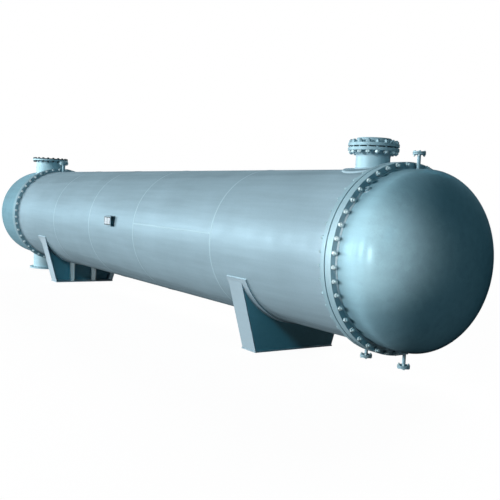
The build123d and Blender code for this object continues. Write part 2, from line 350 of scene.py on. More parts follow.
def shade(obj):
    """Smooth shading with sharp corners; broad faces keep their own direction at their edges."""
    obj.data.shade_smooth()
    obj.data.set_sharp_from_angle(angle=math.radians(32))
    weight = obj.modifiers.new("weight", "WEIGHTED_NORMAL")
    weight.keep_sharp = True
    weight.weight = 100
    apply_modifiers(obj)


def solid_object(name, mesh):
    points, faces = mesh
    data = bpy.data.meshes.new(name)
    data.from_pydata([tuple(p) for p in points], [], faces)
    bm = bmesh.new()
    bm.from_mesh(data)
    bmesh.ops.remove_doubles(bm, verts=bm.verts, dist=1e-6)
    bmesh.ops.recalc_face_normals(bm, faces=bm.faces)
    bm.to_mesh(data)
    bm.free()
    return add(name, data)


def piece(name, mesh, material, replaces=(), cutters=()):
    """Makes a piece of the object that rides on the vessel."""
    obj = solid_object(name, mesh)
    for cutter_mesh in cutters:
        cutter = solid_object("cutter", cutter_mesh)
        cut = obj.modifiers.new("cut", "BOOLEAN")
        cut.operation = "DIFFERENCE"
        cut.solver = "EXACT"
        cut.object = cutter
        apply_modifiers(obj)
        bpy.data.objects.remove(cutter)
    shade(obj)
    obj.data.materials.clear()
    obj.data.materials.append(material)
    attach(obj, "root")
    if replaces:
        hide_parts(*replaces)


# Materials

def node_tree(name):
    material = bpy.data.materials.new(name)
    material.use_nodes = True
    tree = material.node_tree
    return material, tree, tree.nodes["Principled BSDF"]


def linked(tree, kind, inputs=None, **settings):
    """Adds a node; inputs maps socket names or numbers to a value or another node's socket."""
    node = tree.nodes.new(kind)
    for key, value in settings.items():
        setattr(node, key, value)
    for key, value in (inputs or {}).items():
        if isinstance(value, bpy.types.NodeSocket):
            tree.links.new(value, node.inputs[key])
        else:
            node.inputs[key].default_value = value
    return node


def maths(tree, operation, a, b):
    return linked(tree, "ShaderNodeMath", {0: a, 1: b}, operation=operation).outputs[0]


def noise(tree, where, scale, detail=4.0):
    node = linked(tree, "ShaderNodeTexNoise",
                  {"Vector": where, "Scale": scale, "Detail": detail, "Roughness": 0.55})
    return node.outputs["Fac"]


def remap(tree, value, to_low, to_high, low=0.3, high=0.7):
    """Stretches noise, most of which lies from low to high, to another range."""
    node = linked(tree, "ShaderNodeMapRange", {
        "Value": value, "From Min": low, "From Max": high, "To Min": to_low, "To Max": to_high})
    return node.outputs["Result"]


def bump(tree, height, strength, distance, below=None):
    """Relief on the plain surface, or on top of the relief below it."""
    node = linked(tree, "ShaderNodeBump",
                  {"Strength": strength, "Distance": distance, "Height": height})
    if below is not None:
        tree.links.new(below, node.inputs["Normal"])
    return node.outputs["Normal"]


def complete(tree, shader, colour, tone, rough, normal, specular, metallic):
    """Links what varies over the surface: the colour's tone, the roughness and the relief."""
    grey = linked(tree, "ShaderNodeCombineColor", {"Red": tone, "Green": tone, "Blue": tone})
    mix = linked(tree, "ShaderNodeMix",
                 {"Factor": 1.0, "A": (*colour, 1.0), "B": grey.outputs["Color"]},
                 data_type="RGBA", blend_type="MULTIPLY")
    tree.links.new(mix.outputs["Result"], shader.inputs["Base Color"])
    tree.links.new(rough, shader.inputs["Roughness"])
    tree.links.new(normal, shader.inputs["Normal"])
    shader.inputs["Specular IOR Level"].default_value = specular
    shader.inputs["Metallic"].default_value = metallic


def paint(name, colour, rough, specular=0.0, metallic=0.0, lumps=0.0, streaks=0.02):
    """Sprayed enamel: cloudy tone, faint runs along the vessel and an orange-peel surface."""
    material, tree, shader = node_tree(name)
    where = linked(tree, "ShaderNodeTexCoord").outputs["Object"]
    along = linked(tree, "ShaderNodeMapping", {"Vector": where, "Scale": (0.35, 5.0, 5.0)})
    cloud = remap(tree, noise(tree, where, 1.3), 0.94, 1.05)
    streak = remap(tree, noise(tree, along.outputs["Vector"], 3.0), 1.0 - streaks, 1.0 + streaks)
    speck = remap(tree, noise(tree, where, 70.0, 2.0), 0.97, 1.03, 0.25, 0.75)
    tone = maths(tree, "MULTIPLY", maths(tree, "MULTIPLY", cloud, streak), speck)
    uneven = remap(tree, noise(tree, where, 5.0), rough - 0.05, rough + 0.06)
    peel = bump(tree, noise(tree, where, 260.0, 2.0), 0.25, 0.0006)
    relief = bump(tree, noise(tree, where, 2.2, 1.0), 0.5, 0.004, peel)
    if lumps:
        relief = bump(tree, noise(tree, where, 130.0, 1.0), 0.8, lumps, relief)
    complete(tree, shader, colour, tone, uneven, relief, specular, metallic)
    if metallic:
        # Dark edges: the gloss fades where the surface is seen at a slant
        shader.inputs["Specular Tint"].default_value = (0.0, 0.0, 0.0, 1.0)
    return material


def plain(name, colour, rough, metallic=0.0, grain=40.0, stretch=(1.0, 1.0, 1.0), specular=0.5):
    """Bare metal, fibre or plate with a fine grain."""
    material, tree, shader = node_tree(name)
    where = linked(tree, "ShaderNodeTexCoord").outputs["Object"]
    drawn = linked(tree, "ShaderNodeMapping", {"Vector": where, "Scale": stretch})
    grains = noise(tree, drawn.outputs["Vector"], grain)
    tone = remap(tree, grains, 0.86, 1.1)
    uneven = remap(tree, grains, rough - 0.06, rough + 0.06)
    complete(tree, shader, colour, tone, uneven, bump(tree, grains, 0.3, 0.0005), specular,
             metallic)
    return material


shell_paint = paint("shell_paint", (0.282, 0.402, 0.468), 0.45, metallic=0.12, streaks=0.05)
# Darker and more teal than the shell paint: painted shade on the heads and barrels.
shaded_head_paint = paint("shaded_head_paint", (0.205, 0.372, 0.450), 0.29, metallic=0.05, streaks=0.05)
flange_paint = paint("flange_paint", (0.275, 0.425, 0.490), 0.45, metallic=0.12)
# Lighter than the shell paint: painted light on the nozzle pipes and rings.
lit_nozzle_paint = paint("lit_nozzle_paint", (0.360, 0.540, 0.610), 0.40, metallic=0.06, streaks=0.05)
saddle_paint = paint("saddle_paint", (0.320, 0.440, 0.510), 0.45, specular=0.20)
# Darker and more teal than the saddle paint: painted shade on the webs under the shell.
shaded_web_paint = paint("shaded_web_paint", (0.210, 0.460, 0.550), 0.48, specular=0.10)
# Lighter than the saddle paint: painted light on the inner ribs.
lit_rib_paint = paint("lit_rib_paint", (0.520, 0.660, 0.700), 0.45, specular=0.10)
# Lighter than the shell paint: painted highlight along the weld beads.
weld_highlight_paint = paint("weld_highlight_paint", (0.370, 0.520, 0.590), 0.40, metallic=0.08, lumps=0.0022,
                   streaks=0.0)
bolt_paint = paint("bolt_paint", (0.480, 0.630, 0.670), 0.34, metallic=0.10, streaks=0.0)
# Near white: painted light on the channel joint's nuts and studs.
lit_nut_paint = paint("lit_nut_paint", (0.780, 0.860, 0.880), 0.34, metallic=0.10, streaks=0.0)
# Near black: the channel cover and its fasteners, and painted shade on the nameplate's rim and bar.
dark_paint_and_shade = paint("dark_paint_and_shade", (0.040, 0.065, 0.075), 0.60, specular=0.20, streaks=0.0)
inner_steel = plain("inner_steel", (0.105, 0.110, 0.115), 0.62, metallic=0.4, grain=60.0)
fibre = plain("fibre", (0.018, 0.020, 0.020), 0.85, grain=400.0, specular=0.2)
brushed = plain("brushed_plate", (0.30, 0.36, 0.40), 0.45, metallic=0.2, grain=120.0,
                stretch=(0.05, 1.0, 1.0), specular=0.2)


# Shell, barrels, heads

def vessel_tube(name, node, material, cutters=()):
    """Rolled tube as long as its node."""
    low, high = x_range(node)
    outline = soften(rectangle(low, high, R - WALL, R), EDGE)
    piece(name, lathe_x(outline), material, [node], cutters)


def nozzle_hole(x, radius, side):
    """Upright cutter of a nozzle's hole, on the upper or lower side."""
    turn = around(PIPE_STEPS)
    levels = sorted(side * reach for reach in NOZZLE_HOLE_REACH)
    return capped([ring(turn, radius + FIT, AXIS + level) + [x, 0, 0] for level in levels])


def shell():
    for number in range(1, COURSES + 1):
        cutters = [nozzle_hole(shell_inlet_x, shell_inlet_r, 1)] if number == COURSES else []
        vessel_tube(f"shell_skin_{number}", f"shell_course_{number}", shell_paint, cutters)


def barrels():
    vessel_tube("return_barrel_skin", "return_barrel", shaded_head_paint)
    cutters = [nozzle_hole(channel_x, channel_r, side) for side in (1, -1)]
    vessel_tube("channel_barrel_skin", "channel_barrel", shaded_head_paint, cutters)


def head(end, facing):
    """Elliptical head with a short skirt; its welded edge is rounded on the outside."""
    root, tip = x_range(f"{end}_head", facing)
    depth = abs(tip - root) - HEAD_SKIRT
    turn = np.linspace(math.pi / 2, 0, 73)
    rim = [(0, R - WALL), (0, R - EDGE), (EDGE * 0.4, R - EDGE * 0.4), (EDGE, R)]
    outer = [(HEAD_SKIRT + depth * math.cos(t), R * math.sin(t)) for t in turn]
    inner = [(HEAD_SKIRT + (depth - WALL) * math.cos(t), (R - WALL) * math.sin(t))
             for t in turn[::-1]]
    outline = [(root + facing * x, max(radius, 0.0)) for x, radius in rim + outer + inner]
    # The head is painted darker than the shell: painted shade.
    piece(f"{end}_head_skin", lathe_x(outline), shaded_head_paint, [f"{end}_head"])


# Fasteners

def nut(across_flats, height, solid=False):
    """Hexagon nut, or a solid bolt head, standing on z = 0 with its corners chamfered."""
    turn = around(24)
    sixth, chamfer = math.pi / 3, math.radians(30)
    corner = across_flats / 2 / np.cos((turn + sixth / 2) % sixth - sixth / 2)
    flat = across_flats / 2 * 0.95
    drop = np.maximum(corner - flat, 0.0) * math.tan(chamfer)
    bore = 0.0 if solid else across_flats * 0.30
    return skin([ring(turn, bore, 0.0), ring(turn, flat, 0.0), ring(turn, corner, drop * 0.6),
                 ring(turn, corner, height - drop), ring(turn, flat, height),
                 ring(turn, bore, height)])


def stud(diameter, length, thread, pitch):
    """Round bar from z = 0 to its length, with a ridged thread at each end."""
    outer = diameter / 2
    root = outer - pitch * 0.45
    profile = [(0.0, root * 0.85), (pitch * 0.3, root)]
    z = pitch * 0.5
    while z < thread:
        profile.append((z, outer))
        profile.append((z + pitch * 0.5, root))
        z += pitch
    profile.append((z, outer))
    far_end = [(length - z, radius) for z, radius in reversed(profile)]
    turn = around(16)
    return capped([ring(turn, radius, z) for z, radius in profile + far_end])


def along_x(x, y, z, turn, facing=1):
    """Puts a part that stands on z = 0 so that it points along X."""
    tilt = Matrix.Rotation(facing * math.pi / 2, 4, "Y")
    return Matrix.Translation((x, y, z)) @ tilt @ Matrix.Rotation(turn, 4, "Z")


def along_z(x, y, z, turn, facing=1):
    """Puts a part that stands on z = 0 so that it points up or down."""
    tilt = Matrix.Rotation(0 if facing > 0 else math.pi, 4, "X")
    return Matrix.Translation((x, y, z)) @ tilt @ Matrix.Rotation(turn, 4, "Z")


def bolt_angles(count):
    return [(i + 0.5) * 2 * math.pi / count for i in range(count)]


def girth_fasteners(end, low, high):
    """Studs right through the joint with a nut at each end."""
    radius = R + GIRTH_BOLT_OFFSET
    reach = GIRTH_NUT_HEIGHT + GIRTH_TIP
    one_nut = nut(GIRTH_NUT_WIDTH, GIRTH_NUT_HEIGHT)
    thread = GIRTH_TIP + 0.004
    one_stud = stud(GIRTH_STUD, high - low + 2 * reach, thread, GIRTH_PITCH)
    nuts, back_nuts, studs = [], [], []
    for angle in bolt_angles(GIRTH_BOLTS):
        y, z = radius * math.cos(angle), AXIS + radius * math.sin(angle)
        stray = random.uniform(*STUD_STRAY)
        nuts.append(along_x(high, y, z, random.uniform(0, math.pi)))
        back_nuts.append(along_x(low, y, z, random.uniform(0, math.pi), -1))
        studs.append(along_x(low - reach + stray, y, z, 0.0))
    # The channel joint's nuts and studs are near white: painted light.
    finish = bolt_paint if end == "return" else lit_nut_paint
    piece(f"{end}_girth_nuts", copies(one_nut, nuts), finish)
    piece(f"{end}_girth_back_nuts", copies(one_nut, back_nuts), flange_paint)
    piece(f"{end}_girth_studs", copies(one_stud, studs), finish)


def flange_fasteners(name, x, radius, count, faces, size, tip, head_side=None,
                     low_finish=bolt_paint, high_finish=bolt_paint):
    """Upright studs with a nut on each outer face, or bolts whose head is on the high or the
    low face. The two faces are given as heights above the floor."""
    low, high = faces
    across, nut_height, head_height, pitch = size * 1.52, size * 0.85, size * 0.63, size * 0.125
    one_nut = nut(across, nut_height)
    one_head = nut(across, head_height, solid=True)
    start = low if head_side == "low" else low - nut_height - tip
    end = high if head_side == "high" else high + nut_height + tip
    one_stud = stud(size, end - start, tip + pitch, pitch)
    nuts, studs = {"high": [], "low": []}, []
    for angle in bolt_angles(count):
        px, py = x + radius * math.cos(angle), radius * math.sin(angle)
        for side, level, facing in (("high", high, 1), ("low", low, -1)):
            place = along_z(px, py, level, random.uniform(0, math.pi), facing)
            nuts[side].append(placed(one_head if head_side == side else one_nut, place))
        studs.append(along_z(px, py, start, 0.0))
    piece(f"{name}_high_nuts", merge(nuts["high"]), high_finish)
    piece(f"{name}_low_nuts", merge(nuts["low"]), low_finish)
    piece(f"{name}_studs", copies(one_stud, studs), high_finish)


# Girth joints

def faced_ring(back, face, inner, outer, step):
    """Outline of a ring whose joint face is raised up to the radius step. Its points are
    (place along the ring's axis, radius)."""
    shoulder = face + math.copysign(FACING_HEIGHT, back - face)
    return soften([(back, inner), (back, outer), (shoulder, outer), (shoulder, step),
                   (face, step), (face, inner)], RING_EDGE)


def girth_joint(end, facing):
    """Tubesheet, body flange and studs of one end."""
    sheet_back, sheet_face = x_range(f"{end}_tubesheet", facing)
    flange_face, flange_back = x_range(f"{end}_girth_flange", facing)
    step = R + FACING_WIDTH
    sheet = faced_ring(sheet_back, sheet_face, 0.0, GIRTH_R, step)
    piece(f"{end}_tubesheet_disc", lathe_x(sheet), flange_paint,
          [f"{end}_tubesheet"])
    flange = faced_ring(flange_back, flange_face, R - WALL, GIRTH_R, step)
    piece(f"{end}_body_flange", lathe_x(flange), flange_paint,
          [f"{end}_girth_flange"])
    girth_fasteners(end, *sorted((sheet_back, flange_back)))


# Weld beads

def crown(width, height, sink=0.002):
    """Section of a butt weld's cap: (across, out)."""
    half = width / 2
    cap = [(a, height * (1 - (a / half) ** 2)) for a in np.linspace(half, -half, 9)]
    return [(-half, -sink), (half, -sink)] + cap


def corner_bead(leg, sink=0.001):
    """Section of a fillet weld between two faces: (along the first, along the second)."""
    return [(-sink, -sink), (leg, -sink), (leg * 0.97, leg * 0.10), (leg * 0.66, leg * 0.44),
            (leg * 0.44, leg * 0.66), (leg * 0.10, leg * 0.97), (-sink, leg)]


def butt_weld(path, side, out, width, height, closed=True):
    """Weld cap that sways a little beside its path."""
    sway = noise_source.normal(0, WELD_SWAY, len(path))
    return sweep(path + sway[:, None] * side, side, out, crown(width, height), closed)


def ring_seam(x, height=0.0028):
    return butt_weld(*hoop(x, R, around(WELD_STEPS)), width=0.026, height=height)


def long_seam(x_low, x_high, degrees):
    """Seam along the shell, with a step about every 20 mm."""
    steps = max(2, int((x_high - x_low) / 0.02))
    path = straight(x_low, x_high, steps, math.radians(degrees))
    return butt_weld(*path, width=0.020, height=0.0018, closed=False)


def hoop_fillet(x, facing, leg, radius=None, arc=None):
    """Fillet round the shell, or along an arc of a radius, where a face stands up at x."""
    turn = around(WELD_STEPS) if arc is None else arc
    path, side, out = hoop(x, radius or R, turn)
    return sweep(path, facing * side, out, corner_bead(leg), closed=arc is None)


def straight_fillet(x_low, x_high, steps, angle, sign, leg):
    """Fillet along the shell, on the side of greater angles where sign is +1."""
    path, side, out = straight(x_low, x_high, steps, angle)
    return sweep(path, sign * side, out, corner_bead(leg), closed=False)


def root_bead(x, radius, base, leg, side=1, steps=RING_STEPS):
    """Fillet round an upright pipe where it meets a cylinder of radius base."""
    profile = [(radius + a, on_cylinder(base + b)) for a, b in corner_bead(leg)]
    return upright(x, profile, steps, side)


def seams():
    inset, flange_inset = 0.012, 0.008
    courses = [x_range(f"shell_course_{number}") for number in range(1, COURSES + 1)]
    channel_low, channel_high = x_range("channel_barrel")
    return_low, return_high = x_range("return_barrel")
    meshes = [ring_seam(low) for low, high in courses[1:]]
    ground = [ring_seam(x, height=0.0006) for x in (return_high, channel_low)]
    piece("head_welds", merge(ground), shaded_head_paint)
    for (low, high), degrees in zip(courses, LONG_SEAM_DEGREES):
        meshes.append(long_seam(low + inset, high - inset, degrees))
    meshes.append(long_seam(channel_low + inset, channel_high - flange_inset, CHANNEL_SEAM_DEGREES))
    meshes.append(long_seam(return_low + flange_inset, return_high - inset, RETURN_SEAM_DEGREES))
    for end, facing in ENDS:
        inner_face = x_range(f"{end}_tubesheet", facing)[0]
        outer_face = x_range(f"{end}_girth_flange", facing)[1]
        meshes.append(hoop_fillet(inner_face, -facing, leg=0.012))
        meshes.append(hoop_fillet(outer_face, facing, leg=0.012))
    piece("vessel_welds", merge(meshes), weld_highlight_paint)


# Shell inlet

def shell_inlet():
    x, r = shell_inlet_x, shell_inlet_r
    bore = r - INLET_WALL
    flange_r = half_length("shell_inlet_flange")
    hub_low, face = heights("shell_inlet_flange")
    flange_low = hub_low + INLET_HUB_LENGTH
    neck = rectangle(bore, r, on_cylinder(R - WALL), hub_low)
    # The nozzle pipes and rings are painted lighter than the shell: painted light.
    piece("shell_inlet_pipe", upright(x, neck), lit_nozzle_paint, ["shell_inlet_neck"])
    step, shoulder = r + INLET_FACING, face - FACING_HEIGHT
    outline = soften([(bore, hub_low), (r, hub_low), (r + INLET_HUB_GROWTH, flange_low),
                      (flange_r, flange_low), (flange_r, shoulder), (step, shoulder),
                      (step, face), (bore, face)], RING_EDGE)
    piece("shell_inlet_lower_flange", upright(x, outline), flange_paint,
          ["shell_inlet_flange"])
    mate_low, mate_high = heights("shell_inlet_mating_flange")
    mirrored = [(radius, mate_low + face - height) for radius, height in outline]
    piece("shell_inlet_upper_flange", upright(x, mirrored), flange_paint,
          ["shell_inlet_mating_flange"])
    faces = (AXIS + flange_low, AXIS + mate_high - INLET_HUB_LENGTH)
    flange_fasteners("shell_inlet", x, r + INLET_BOLT_OFFSET, INLET_BOLTS, faces, INLET_STUD,
                     INLET_TIP, high_finish=flange_paint)
    inlet_pad(x, r)
    pad_r = half_length("shell_inlet_pad")
    pad_top = heights("shell_inlet_pad")[1]
    cap = crown(width=0.014, height=0.0018)
    butt = [(r + out, hub_low + across) for across, out in cap]
    welds = [root_bead(x, r, pad_top, leg=0.010),
             root_bead(x, pad_r, R, leg=0.010, steps=BEAD_STEPS), upright(x, butt)]
    piece("shell_inlet_welds", merge(welds), weld_highlight_paint)


def inlet_pad(x, r):
    """Reinforcing plate that hugs the shell round the neck, let into it a little."""
    sink = 0.001
    pad_r = half_length("shell_inlet_pad")
    top = heights("shell_inlet_pad")[1]
    underside = on_cylinder(R - sink)
    upper = [(radius, on_cylinder(top)) for radius in np.linspace(r + FIT, pad_r - RING_EDGE, 10)]
    outline = [(r + FIT, underside), *upper, (pad_r, on_cylinder(top - RING_EDGE)),
               (pad_r, underside)]
    piece("shell_inlet_pad_plate", upright(x, outline, RING_STEPS), shell_paint,
          ["shell_inlet_pad"])


# Channel nozzles

def bolt_hole(x, y, low, face, side):
    """Cutter of an upright bolt hole with a chamfer at both ends."""
    shoulder = face - FACING_HEIGHT
    chamfer, over = 0.0008, 0.001
    outline = [(0.0, low - CLEAR), (BOLT_HOLE_RIM_R, low - over), (BOLT_HOLE_R, low + chamfer),
               (BOLT_HOLE_R, shoulder - chamfer), (BOLT_HOLE_RIM_R, shoulder + over),
               (BOLT_HOLE_RIM_R, face + CLEAR), (0.0, face + CLEAR)]
    return upright(x, outline, 24, side, y)


def channel_nozzle(name, side):
    """Pipe and flange of one channel nozzle; the lower one's bolt holes are open."""
    x, r = channel_x, channel_r
    bore = r - CHANNEL_WALL
    low, face = heights(f"{name}_flange", side)
    neck = rectangle(bore, r, on_cylinder(R - WALL), low)
    piece(f"{name}_pipe", upright(x, neck, RING_STEPS, side), lit_nozzle_paint,
          [f"{name}_neck"])
    section = faced_ring(low, face, bore, half_length(f"{name}_flange"), r + CHANNEL_FACING)
    outline = [(radius, height) for height, radius in section]
    cutters = []
    if side < 0:
        circle = r + CHANNEL_BOLT_OFFSET
        holes = [bolt_hole(x + circle * math.cos(a), circle * math.sin(a), low, face, side)
                 for a in bolt_angles(CHANNEL_BOLTS)]
        cutters = [merge(holes)]
    piece(f"{name}_ring", upright(x, outline, RING_STEPS, side), lit_nozzle_paint,
          [f"{name}_flange"], cutters)
    collar = [(r + a, low - b) for a, b in corner_bead(leg=0.009)]
    return [root_bead(x, r, R, leg=0.012, side=side, steps=BEAD_STEPS),
            upright(x, collar, RING_STEPS, side)]


def channel_nozzles():
    welds = channel_nozzle("channel_inlet", 1) + channel_nozzle("channel_outlet", -1)
    piece("channel_nozzle_welds", merge(welds), weld_highlight_paint)
    cover_r = half_length("channel_inlet_cover")
    cover = soften(rectangle(0.0, cover_r, *heights("channel_inlet_cover")), RING_EDGE)
    piece("channel_cover_plate", upright(channel_x, cover, RING_STEPS), dark_paint_and_shade,
          ["channel_inlet_cover"])
    faces = (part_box("channel_inlet_flange")[0].z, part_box("channel_inlet_cover")[1].z)
    flange_fasteners("channel_cover", channel_x, channel_r + CHANNEL_BOLT_OFFSET, CHANNEL_BOLTS,
                     faces, CHANNEL_STUD, CHANNEL_TIP, "high", dark_paint_and_shade, dark_paint_and_shade)


# Vents and drains

def small_nozzle(name, side, sizes):
    """Stub with a flange, a blind on it and four bolts; returns the bead at its root."""
    x = middle(f"{name}_nozzle").x
    flange_r = half_length(f"{name}_nozzle")
    face, top = heights(f"{name}_blind", side)
    low = face - (top - face)
    pipe = flange_r - sizes["flange"]
    bore = pipe - sizes["wall"]
    inside = on_cylinder(R - WALL)
    flange = soften([(pipe + COLLAR_WIDTH, low), (flange_r, low), (flange_r, face - BLIND_GAP),
                     (bore, face - BLIND_GAP)], SMALL_EDGE)
    outline = [(bore, inside), (pipe, inside), (pipe, low - COLLAR_HEIGHT), *flange]
    piece(f"{name}_stub", upright(x, outline, SMALL_STEPS, side), flange_paint,
          [f"{name}_nozzle"])
    blind = soften(rectangle(0.0, flange_r, face + BLIND_GAP, top), SMALL_EDGE)
    piece(f"{name}_cap", upright(x, blind, SMALL_STEPS, side), flange_paint,
          [f"{name}_blind"])
    faces = sorted((AXIS + side * low, AXIS + side * top))
    flange_fasteners(name, x, pipe + sizes["bolts"], 4, faces, sizes["bolt"], sizes["tip"],
                     "high" if side > 0 else "low")
    return root_bead(x, pipe, R, leg=0.006, side=side, steps=SMALL_STEPS)


def boss():
    """Ring-shaped boss that stands square on the barrel; returns the bead at its root."""
    centre = middle("return_barrel_boss")
    direction = Vector((0, centre.y, centre.z - AXIS)).normalized()
    chamfer, floor_height = 0.0008, 0.002
    outline = [(0.0, 0.0), (BOSS_R, 0.0), (BOSS_R, BOSS_LENGTH - RING_EDGE),
               (BOSS_R - RING_EDGE, BOSS_LENGTH), (BOSS_BORE_R + chamfer, BOSS_LENGTH),
               (BOSS_BORE_R, BOSS_LENGTH - chamfer), (BOSS_BORE_R, floor_height),
               (0.0, floor_height)]
    bead = [(BOSS_R + a, b) for a, b in corner_bead(leg=0.005)]
    place = Matrix.Translation(Vector((centre.x, 0, AXIS)) + direction * R)
    place = place @ direction.to_track_quat("Z", "Y").to_matrix().to_4x4()
    turn = around(SMALL_STEPS)
    boss_mesh, bead_mesh = (placed(skin([ring(turn, radius, z) for radius, z in section]), place)
                            for section in (outline, bead))
    piece("barrel_boss", boss_mesh, flange_paint, ["return_barrel_boss"])
    return bead_mesh


def vents_and_drains():
    welds = [small_nozzle(name, side, sizes) for name, side, sizes in SMALL_NOZZLES]
    welds.append(boss())
    piece("small_nozzle_welds", merge(welds), weld_highlight_paint)


# Nameplate

def rounded_rectangle(half_width, half_height, radius, steps=6):
    corners = [(1, 1, 0), (-1, 1, 90), (-1, -1, 180), (1, -1, 270)]
    points = []
    for sx, sz, start in corners:
        for t in np.radians(np.linspace(start, start + 90, steps)):
            points.append((sx * (half_width - radius) + radius * math.cos(t),
                           sz * (half_height - radius) + radius * math.sin(t)))
    return np.array(points)


def nameplate_rim(low, high):
    """Raised rim and the bar between the plate's two fields, both painted near black as painted
    shade along their raised edges.
    """
    centre = (low + high) / 2
    half_width, half_height = (high.x - low.x) / 2, (high.z - low.z) / 2
    bevel, sink = 0.0003, 0.0002

    def outline(inset, radius, y):
        xz = rounded_rectangle(half_width - inset, half_height - inset, radius)
        return np.stack([centre.x + xz[:, 0], np.full(len(xz), y), centre.z + xz[:, 1]], 1)

    rim = skin([outline(0.0, PLATE_CORNER, high.y), outline(0.0, PLATE_CORNER, low.y + bevel),
                outline(bevel, PLATE_CORNER, low.y),
                outline(PLATE_RIM - bevel, FIELD_CORNER, low.y),
                outline(PLATE_RIM, FIELD_CORNER, low.y + bevel),
                outline(PLATE_RIM, FIELD_CORNER, high.y)])
    bar_half = PLATE_RIM / 2
    bar = rectangle(centre.x - bar_half, centre.x + bar_half, low.y + sink, low.y + PLATE_RECESS)
    bar_low = low.z + PLATE_RIM
    divider = prism(bar, lambda x, y, depth: (x, y, bar_low + depth),
                    high.z - low.z - 2 * PLATE_RIM, HAIR_EDGE)
    piece("nameplate_rim", merge([rim, divider]), dark_paint_and_shade)


def nameplate_panel():
    """Bare plate of two fields in a raised rim, riveted to its welded bracket."""
    low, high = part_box("nameplate")
    nameplate_rim(low, high)
    field = low.y + PLATE_RECESS
    inset = PLATE_RIM + HAIR_EDGE
    sheet = rectangle(low.x + inset, high.x - inset, low.z + inset, high.z - inset)
    piece("nameplate_field", prism(sheet, lambda x, z, depth: (x, field + depth, z),
                                   high.y - field, HAIR_EDGE), brushed, ["nameplate"])
    turn = around(20)
    dome = skin([ring(turn, radius, height) for radius, height in
                 ((0.0, 0.0), (0.004, 0.0), (0.0038, 0.0003), (0.0026, 0.0007), (0.0, 0.0008))],
                closed_along=False)
    inset = PLATE_RIM + RIVET_INSET
    corners = rectangle(low.x + inset, high.x - inset, low.z + inset, high.z - inset)
    outward = Matrix.Rotation(math.pi / 2, 4, "X")
    places = [Matrix.Translation((x, field, z)) @ outward for x, z in corners]
    piece("nameplate_rivets", copies(dome, places), bolt_paint)
    low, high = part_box("nameplate_bracket")
    beads = []
    for z, sign in ((low.z, 1), (high.z, -1)):
        angle = math.pi - math.asin((z - AXIS) / R)
        beads.append(straight_fillet(low.x, high.x, 16, angle, sign, leg=0.005))
    piece("nameplate_bracket_welds", merge(beads), weld_highlight_paint)


# Saddles

# The radius that webs and ribs are cut to, and the top corner of the side plates as
# (y, height from the axis)
SEAT = R + PAD_THICKNESS + FIT
HORN = np.array([SEAT * math.cos(HORN_ANGLE), -SEAT * math.sin(HORN_ANGLE)])


def arc_points(y_from, y_to, steps):
    """Points (y, height above the floor) on the lower side of the seat's circle."""
    return [(y, AXIS - math.sqrt(SEAT ** 2 - y ** 2)) for y in np.linspace(y_from, y_to, steps)]


def seat_crossing(point, towards):
    """Where the line from one (y, height from the axis) point to another first meets the
    seat's circle."""
    d = towards - point
    a, b, c = d @ d, 2 * point @ d, point @ point - SEAT ** 2
    return point + d * (-b - math.sqrt(b * b - 4 * a * c)) / (2 * a)


def plates_across(outlines, low, high):
    """Plates of (y, z) outlines that stand across the vessel, from low to high in X."""
    return merge([prism(outline, lambda y, z, depth: (low + depth, y, z), high - low)
                  for outline in outlines])


def both_sides(outline):
    return [[(sign * y, z) for y, z in outline] for sign in (-1, 1)]


def anchor_hole(x, y, slot_half, top):
    """Cutter of a round hole, or of a slot along X where slot_half isn't 0."""
    turn = around(32)
    stretch = np.where(np.cos(turn) >= 0, slot_half, -slot_half)
    shift = np.stack([x + stretch, y + 0 * turn, 0 * turn], 1)
    return capped([ring(turn, ANCHOR_HOLE_R, z) + shift for z in (-CLEAR, top + CLEAR)])


def saddle_pad(end):
    """Plate wrapped round the shell's underside; returns the beads at its four edges."""
    low, high = x_range(f"{end}_saddle_pad")
    wrap = np.linspace(-math.pi / 2 - PAD_HALF_WRAP, -math.pi / 2 + PAD_HALF_WRAP, 129)
    section = soften(rectangle(low, high, FIT, PAD_THICKNESS), EDGE)
    piece(f"{end}_saddle_pad_plate", sweep(*hoop(0.0, R, wrap), section, closed=False),
          saddle_paint, [f"{end}_saddle_pad"])
    leg = 0.008
    beads = [hoop_fillet(x, facing, leg, arc=wrap) for x, facing in ((low, -1), (high, 1))]
    for angle, sign in ((wrap[0], -1), (wrap[-1], 1)):
        beads.append(straight_fillet(low, high, 24, angle, sign, leg))
    return beads


def web_welds(web_low, web_high, top_y, foot_y, foot):
    """Beads where the web meets the pad and the base."""
    reach = math.acos(top_y / SEAT)
    arc = np.linspace(-math.pi + reach, -reach, 97)
    steps = 40
    y = np.linspace(-foot_y, foot_y, steps)
    up = np.tile([0.0, 0.0, 1.0], (steps, 1))
    beads, foot_beads = [], []
    for x, facing in ((web_low, -1), (web_high, 1)):
        beads.append(hoop_fillet(x, facing, leg=0.008, radius=R + PAD_THICKNESS, arc=arc))
        path = np.stack([x + 0 * y, y, foot + 0 * y], 1)
        side = np.tile([facing, 0.0, 0.0], (steps, 1))
        foot_beads.append(sweep(path, side, up, corner_bead(leg=0.007), closed=False))
    return beads + foot_beads


